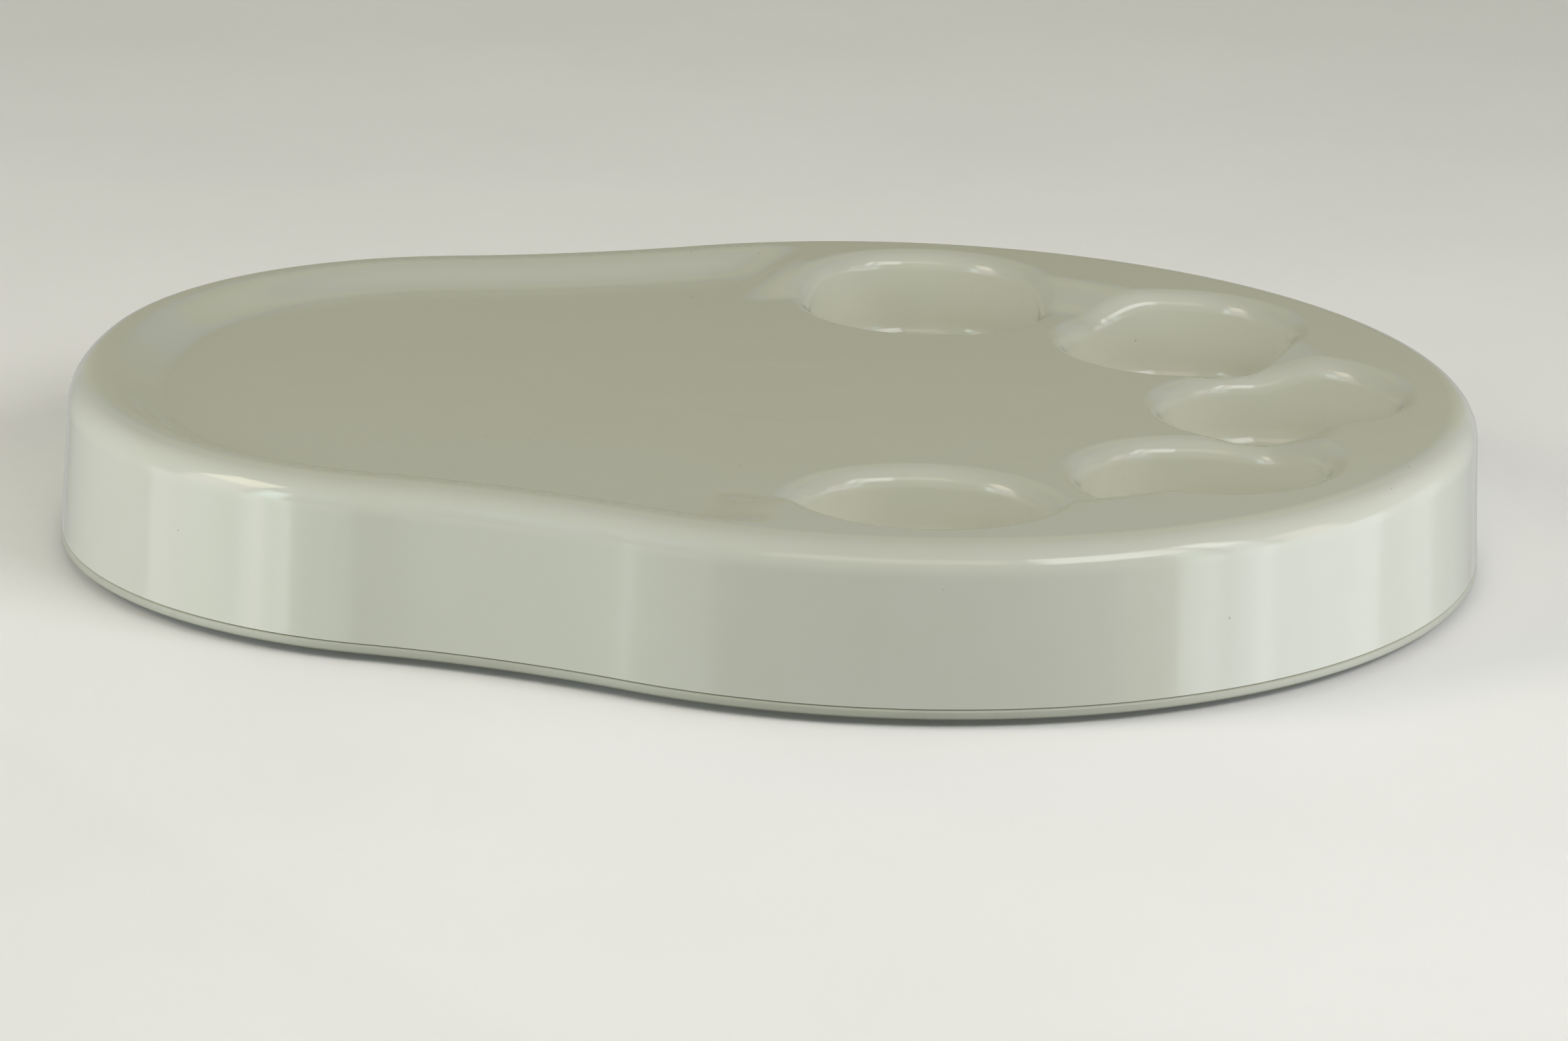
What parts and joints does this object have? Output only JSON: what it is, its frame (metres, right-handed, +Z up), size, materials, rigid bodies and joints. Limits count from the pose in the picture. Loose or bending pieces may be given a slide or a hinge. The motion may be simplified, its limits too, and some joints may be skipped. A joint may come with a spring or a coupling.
{
  "type": "mixing palette",
  "caption": "Teardrop tabletop mixing palette: a hollow gloss plastic top with a shallow mixing tray and an arc of round paint wells, closed below by a flat base plate on feet.",
  "frame": {"origin": "centre of the palette's footprint, on the surface that its feet stand on", "axes": "+X along the length, from the narrow end to the wide end with the wells; +Y across; +Z up"},
  "size_m": [0.45, 0.371, 0.0538],
  "materials": {
    "shell": "glossy cream-white moulded plastic",
    "plate": "satin cream-white sheet",
    "inner": "plain white moulding, hidden inside",
    "screw": "zinc-plated steel",
    "foot": "dark matt rubber"
  },
  "bodies": {
    "root": {"top_shell": "shell", "base_plate": "plate", "support_ring": "inner", "support_post_1": "inner", "support_post_2": "inner", "support_post_3": "inner", "support_post_4": "inner", "support_post_5": "inner", "support_post_6": "inner", "screw_1": "screw", "screw_2": "screw", "screw_3": "screw", "screw_4": "screw", "screw_5": "screw", "screw_6": "screw", "foot_1": "foot", "foot_2": "foot", "foot_3": "foot", "foot_4": "foot", "foot_5": "foot", "foot_6": "foot"}
  },
  "joints": []
}
